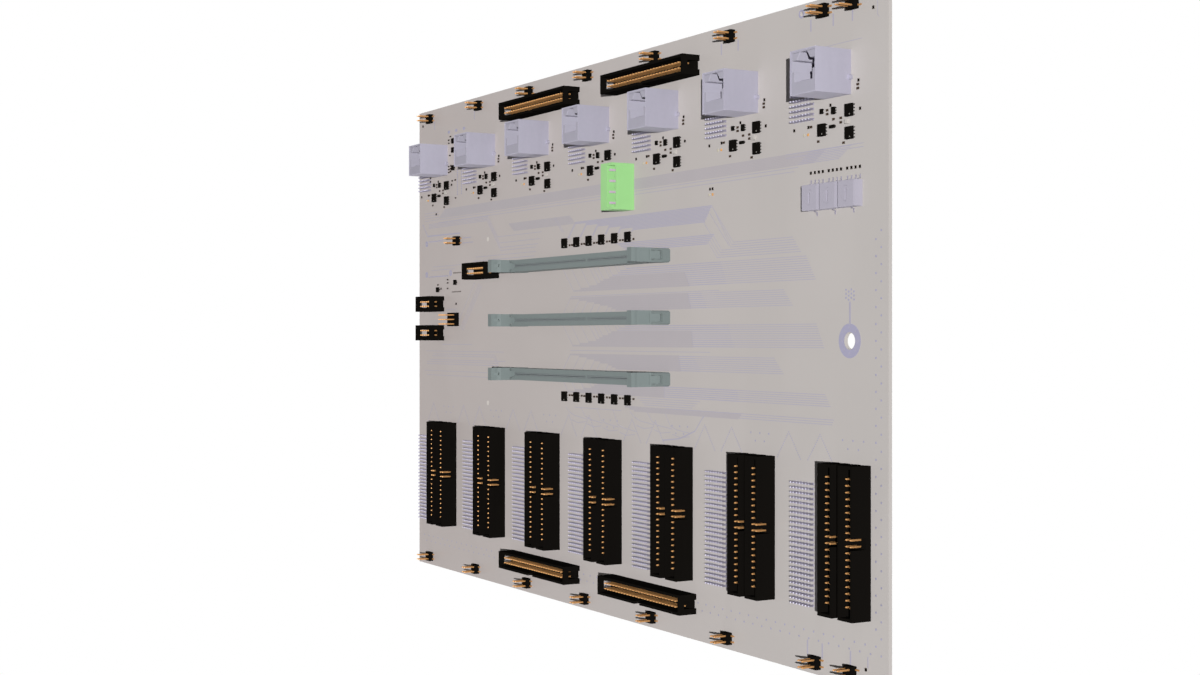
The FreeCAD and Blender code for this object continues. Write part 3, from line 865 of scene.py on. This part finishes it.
def track(path, width=FINE, count=1, step=(0, 0)):
    """A track drawn out from a square at its first point, and its parallel neighbours.

    Tracks differ a little in height, so that where two cross they share no face.
    """
    (x, z), rest = path[0], path[1:]
    bpy.ops.object.select_all(action="DESELECT")
    bpy.ops.mesh.primitive_plane_add(size=width * MM, location=(x * MM, z * MM, 0))
    strip = settled("track")
    across, along = path[-1][0] - x, path[-1][1] - z
    if abs(across) >= abs(along):
        pick_points(strip, lambda place: (place.x - path[0][0]) * across > 0)
    else:
        pick_points(strip, lambda place: (place.y - path[0][1]) * along > 0)
    for end_x, end_z in rest:
        push(end_x - x, end_z - z, 0)
        x, z = end_x, end_z
    bpy.ops.mesh.select_all(action="SELECT")
    layer = (len(tracks) + len(dense_tracks)) % TRACK_LAYERS
    push(0, 0, TRACK_HEIGHT + LAYER_RISE * layer)
    done()
    face_outward(strip)
    if count > 1:
        in_rows(strip, (count, (*step, 0)))
    if width in (BUNDLED, DENSE):
        dense_tracks.append(strip)
    else:
        tracks.append(strip)


def escapes(row, starts, level, spacing, solid, *stages):
    """Tracks that leave a row of pads on a slant and run level, finer from stage to stage.

    A stage is the first track's end, the step to the next track's, and the width up to there.
    Only the first of the tracks, as many as solid says, lie close enough to need the dense width.
    """
    for index, start in enumerate(starts):
        height = level + index * spacing
        turn = start + abs(row - height)
        track([(start, row), (turn, height)])
        for first, step, width in stages:
            end = first + index * step
            track([(turn, height), (end, height)], width if index < solid else min(width, MEDIUM))
            turn = end


def jack_side_tracks():
    """The long bundle under the jacks, and the tracks round it."""
    track([(-178, 73.4), (176, 73.4)], BUNDLED, 8, (-1.1, -0.63))
    track([(166, 73.4), (192, 73.4)], FINE, 8, (-1.1, -0.63))
    track([(150, 73.6), (199, 73.6)], FINE, 2, (0, -1.4))
    track([(-184, 67.9), (158, 67.9)], FINE, 2, (-2.5, -1.5))
    track([(176.4, 113.3), (198.2, 113.3)], THIN)
    track([(207.3, 128), (207.3, 120.9), (208.5, 119.7)], THIN)
    track([(-206, 72.6), (-186, 72.6)], THIN, 4, (0, -1.5))
    for index, level in enumerate((54.2, 50.8, 48.3, 46.7)):
        top, turn = 66.0 - 0.75 * index, -122 - 0.5 * index
        track([(-200, top), (turn, top), (turn + top - level, level), (-60 - 2 * index, level)])
    track([(-137, 44.4), (-66, 44.4)])
    track([(-141, 42.2), (-68, 42.2)])
    track([(-96.5, 60.3), (-30, 60.3)], BUNDLED, 7, (0.9, -0.63))
    track([(-46, 60.3), (-38, 52.7)], FINE, 2, (1.6, 0))


def left_side_tracks():
    """Single tracks and small groups at the left of the driver rows."""
    track([(-208.7, 66.1), (-202.3, 59.2), (-158, 58.8)], BROAD)
    track([(-154.5, 55.8), (-143.5, 55.8)], STUB)
    track([(-154.5, 53.0), (-140.7, 53.0)], STUB)
    track([(-194, 41.0), (-156, 41.0)])
    track([(-196, 39.0), (-165, 39.0)])
    track([(-175.7, 16.1), (-162, 16.1)])
    track([(-157.3, 5.6), (-133.3, 29.6)], FINE, 4, (1.2, -0.5))
    track([(-158.4, 10.6), (-138.4, 30.6)], FINE)
    track([(-181, -3.9), (-142, -3.9)])
    track([(-203.5, -7.8), (-103, -7.8)])
    track([(-194, -9.5), (-114, -9.5), (-109, -14.5)], FINE, 2, (-1, -1.1))
    track([(-198, -12.8), (-101, -12.8)])
    track([(-203, -13.9), (-110, -13.9)], FINE, 2, (0, -1.3))
    track([(-206, -19.2), (-123, -19.2)])
    track([(-203, -21.7), (-123, -21.7)])


def sheaf(level, spacing, count, start, end, width=FINE):
    """Level tracks under one another; start and end are each a first place and a step."""
    for index in range(count):
        height = level + index * spacing
        first, last = start[0] + index * start[1], end[0] + index * end[1]
        track([(first, height), (last, height)], width)


def driver_tracks():
    """From the upper row of small packages: over them, and down to the right-hand fan."""
    for index in range(6):
        start = driver_places[index][0] + 2.4
        for line in range(2):
            level = 56.8 - 0.6 * (2 * index + line)
            track([(start + line, 49.6), (start + line + level - 49.6, level), (96 - index, level)], 0.46)
    for index in range(3):
        track([(96 + index, 57 - index), (112.6 - index, 40.3 - index), (154.4 + index, 40.3 - index)])
    for index in range(4):
        top, low = 44.3 - 1.2 * index, 37.3 - index
        track([(97 - index, top), (97 - index + top - low, low), (157 + index, low)])
    sheaf(44.3, -0.75, 6, (16, 2.0), (98, -1.0), 0.42)
    track([(95, 53.4), (109.5, 38.9)])
    track([(90, 50), (96, 44)])


FALLING_STARTS = (-36.4, -28, -18.6, -10, -6, -2, 4.5, 8.2, 14.5, 17.3, 23.6)
RISING_STARTS = (-36.4, -26.4, -17.7, -9.5, -3, 5.5, 10, 14.5)


def socket_tracks():
    """Fans above and below each memory socket, dense at first and thinner further right."""
    top, middle, bottom = [place[1] for place in sockets]
    dense, medium, fine = (78.6, -0.62, DENSE), (107.7, -0.43, MEDIUM), (169.5, -0.6, FINE)
    escapes(top - 3.4, FALLING_STARTS, top - 13.9, 0.93, 7, dense, medium, fine)
    dense, medium, fine = (81.5, -0.15, DENSE), (112.9, -0.4, MEDIUM), (175, -0.5, FINE)
    escapes(middle - 3.4, FALLING_STARTS, middle - 12.9, 0.93, 8, dense, medium, fine)
    dense, medium, fine = (77.5, 0.35, DENSE), (88.2, 0.6, MEDIUM), (148.5, 0.85, FINE)
    escapes(middle + 3.4, RISING_STARTS, middle + 10.4, -0.9, 8, dense, medium, fine)
    sheaf(middle + 11.3, 1.0, 1, (-28.6, 0), (102, 0))
    dense, medium, fine = (69.8, 0.25, DENSE), (82.6, 0.7, MEDIUM), (142, 0.9, FINE)
    escapes(bottom + 3.4, RISING_STARTS, bottom + 10.4, -0.9, 8, dense, medium, fine)
    sheaf(bottom + 12.4, 1.0, 1, (-29, 0), (95, 0))
    dense, medium, fine = (57.9, 0, DENSE), (117, -0.35, MEDIUM), (179, -0.7, FINE)
    escapes(bottom - 3.4, FALLING_STARTS[:6], bottom - 8.0, 0.9, 6, dense, medium, fine)
    sheaf(-28, -1, 4, (35, 2), (87, -2))
    sheaf(-32, -0.95, 3, (60, 5), (181, -0.5))
    sheaf(-32.4, -0.8, 3, (24, 4), (118, -1), DENSE)
    track([(-25, -34.4), (20, -34.4)])
    track([(90, -34.5), (83.6, -41), (71, -45), (57, -46.4)], 0.6)
    for index in range(7):
        start = -34 + 15.5 * index
        low = -38.5 - 1.3 * (index % 4)
        track([(start, -34.6), (start + 4, low + 1.5), (start + 9, low), (start + 21, low - 1.2)])
        track([(start + 6, low - 2.2), (start + 12, low - 3.4), (start + 20, low - 2.6)])


def edge_stubs():
    """Short broad tracks at the board's edges and round the fixing hole."""
    top, low = BOARD_HIGH.z, BOARD_LOW.z
    for x in (-192.3, -139, 103.8, 116.3, 166.5, 180.7, 192.5):
        track([(x, top - 11.3), (x, top - 7.4)], BROAD)
    for x in (164.3, 173.8, 191.3):
        track([(x, low + 12.4), (x, low + 7.4)], BROAD)
    track([(201.7, low + 8.2), (201.7, low + 12.0)], STUB)
    track([(191, 5.3), (191, 13.2)], 1.0)


for route in (jack_side_tracks, left_side_tracks, driver_tracks, socket_tracks, edge_stubs):
    route()
piece("tracks", stand_all(tracks), COPPER)
piece("dense_tracks", stand_all(dense_tracks), DENSE_COPPER)


# -------------------------------------------------------------------------------- vias and pads
def dot_row(radius, place, count, step):
    """Round pads from a first place on, a step apart."""
    return in_rows(disc("dot", radius, PAD_HEIGHT, (*place, 0), 8), (count, (*step, 0)))


STITCH = 6.35
FIXING_X, FIXING_Z = 190.8, -1.3
vias = []
for x, z, count in ((206.4, 36.8, 25), (209.5, 40.0, 26)):
    vias.append(dot_row(0.46, (x, z), count, (0, -STITCH)))
for z, x in ((-115.8, -206.4), (-118.9, -203.2)):
    for run, count in ((x, 15), (x + 18 * STITCH, 8), (x + 29 * STITCH, 6), (x + 43 * STITCH, 22)):
        vias.append(dot_row(0.44, (run, z), count, (STITCH, 0)))
for slot in SLOTS:
    x = SLOT_X[slot]
    for apex in (-31.0, -10.5) if slot > min(SLOTS) else (-10.5,):
        vias.append(dot_row(0.27, (x + apex, -38), 14, (-0.6, -0.8)))
        vias.append(dot_row(0.27, (x + apex + 0.6, -38.8), 13, (0.6, -0.8)))
    vias.append(dot_row(0.42, (x + 3.6, -39.4), 3, (STITCH, 0)))
    vias.append(dot_row(0.42, (x + 6.8, -42.7), 2, (STITCH, 0)))
for x, drop in ((188.6, 0), (190.2, -0.75), (191.8, 0), (193.4, -0.75)):
    vias.append(dot_row(0.45, (x, 15.2 + drop), 3, (0, 1.55)))
for x, z, count in ((-200, 55.8, 16), (-200, 35.3, 22)):
    vias.append(dot_row(0.42, (x, z), count, (1.25, 0)))
for x in (-161, -155.5):
    vias.append(dot_row(0.5, (x, 94.5), 11, (0, -1.35)))
piece("vias", stand_all(vias), PAD)


def ring(inner, outer, place, sides=24):
    """A flat ring: a disc whose two faces are inset and the insets bridged into a hole."""
    annulus = disc("ring", outer, PAD_HEIGHT, (*place, 0), sides)
    pick_faces(annulus, lambda middle, normal: abs(normal.z) > 0.9)
    bpy.ops.mesh.inset(thickness=(outer - inner) * MM * math.cos(math.pi / sides))
    bpy.ops.mesh.bridge_edge_loops()
    done()
    return annulus


rings = [ring(3.4, 6.65, (FIXING_X, FIXING_Z), 48), ring(1.05, 1.8, (160.4, 128.7))]
rings += [ring(0.6, 1.7, place) for place in ((-203.2, 54.7), (-203.2, 36.7), (-170.1, 36.7))]
for middle in ((-172.3, 117.2, 0), (-162.6, 117.2, 0), (-152.4, 117.2, 0)):
    oval = disc("oval", 0.9, PAD_HEIGHT, middle, 16)
    pick_points(oval, lambda place: True)
    bpy.ops.transform.resize(value=(1.8, 1, 1), center_override=Vector(middle) * MM)
    done()
    rings.append(oval)
piece("pad_rings", stand_all(rings), PAD)
RING_VIAS, RING_VIA_RADIUS = 8, 4.95
ring_vias = []
for index in range(RING_VIAS):
    angle = index * math.tau / RING_VIAS
    x, z = FIXING_X + RING_VIA_RADIUS * math.cos(angle), FIXING_Z + RING_VIA_RADIUS * math.sin(angle)
    ring_vias.append(disc("via", 0.5, 0.1, (x, z, 0), 10))
piece("fixing_ring_vias", stand_all(ring_vias), SOLDER)
points = [dot_row(0.42, (-166.0, 36.6), 8, (1.35, 0)), dot_row(0.42, (-168.0, 25.9), 9, (1.4, 0))]
piece("test_points", stand_all(points), CAP_END)
fiducials = [disc("fiducial", 1.25, PAD_HEIGHT, (-122, z, 0), 24) for z in (53.5, -35.6)]
piece("fiducials", stand_all(fiducials), FIDUCIAL)


# --------------------------------------------------------------------------- camera and studio
AMBIENT = 0.055
LAMP_CONE, WIDE_CONE = 26, 64
LAMP_RADIUS = 0.0025
FLOOR_SIZE, FLOOR_LEVEL = 16, -0.75
CAMERA_DISTANCE, CAMERA_AZIMUTH = 0.8019, 60
WHITE = (1, 1, 1, 1)


def lamp(name, place, energy, cone=LAMP_CONE):
    """A small spot lamp aimed at the board, whose light weakens only a little over the board's length."""
    light = bpy.data.lights.new(name, "SPOT")
    light.energy = energy
    light.spot_size = math.radians(cone)
    light.shadow_soft_size = LAMP_RADIUS
    light.use_nodes = True
    nodes = Nodes(light.node_tree)
    falloff = nodes.node("ShaderNodeLightFalloff", {"Strength": 1.0}, "Linear")
    nodes.plug(nodes.tree.nodes["Emission"].inputs["Strength"], falloff)
    holder = bpy.data.objects.new(name, light)
    bpy.context.scene.collection.objects.link(holder)
    holder.location = place
    holder.rotation_euler = (-Vector(place)).to_track_quat("-Z", "Y").to_euler()


def studio():
    """A pale floor far below the board, a key lamp at its right, one behind it and a weak one below."""
    lamp("key", (1.50, -0.90, -0.01), 72)
    lamp("behind", (-0.4, 1.5, 0.2), 66)
    lamp("below", (0.1, -0.05, -0.7), 6, WIDE_CONE)

    bpy.ops.object.select_all(action="DESELECT")
    bpy.ops.mesh.primitive_plane_add(size=FLOOR_SIZE, location=(0, 0, FLOOR_LEVEL))
    floor = bpy.context.object
    floor.name = "studio_floor"
    finish = Finish("studio_floor", (238, 238, 238), 0.9, specular=0.0)
    bright = finish.node("ShaderNodeEmission", {"Color": WHITE, "Strength": 1.0}, "Emission")
    surface = Signal(finish, finish.shader.outputs["BSDF"])
    mixed = finish.node("ShaderNodeMixShader", {0: finish.seen_directly(), 1: surface, 2: bright})
    finish.plug(finish.tree.nodes["Material Output"].inputs["Surface"], mixed)
    floor.data.materials.append(finish.material)


def world_light():
    """White to the camera and to reflections seen in the part, dim to the surfaces themselves."""
    world = bpy.data.worlds.new("studio")
    bpy.context.scene.world = world
    world.use_nodes = True
    nodes = Nodes(world.node_tree)
    background = nodes.tree.nodes["Background"]
    nodes.plug(background.inputs["Color"], WHITE)
    nodes.plug(background.inputs["Strength"], nodes.seen_directly() * (1 - AMBIENT) + AMBIENT)


def camera():
    """A camera level with the board's middle and turned to its right."""
    data = bpy.data.cameras.new("camera")
    data.lens = 50
    data.sensor_width = 36
    data.clip_end = 30
    holder = bpy.data.objects.new("camera", data)
    bpy.context.scene.collection.objects.link(holder)
    azimuth = math.radians(CAMERA_AZIMUTH)
    aim = Vector((0, BOARD_FRONT, 0))
    holder.location = aim + Vector((math.sin(azimuth), -math.cos(azimuth), 0)) * CAMERA_DISTANCE
    holder.rotation_euler = (aim - holder.location).to_track_quat("-Z", "Y").to_euler()
    bpy.context.scene.camera = holder


studio()
world_light()
camera()
bpy.context.scene.view_settings.view_transform = "Standard"

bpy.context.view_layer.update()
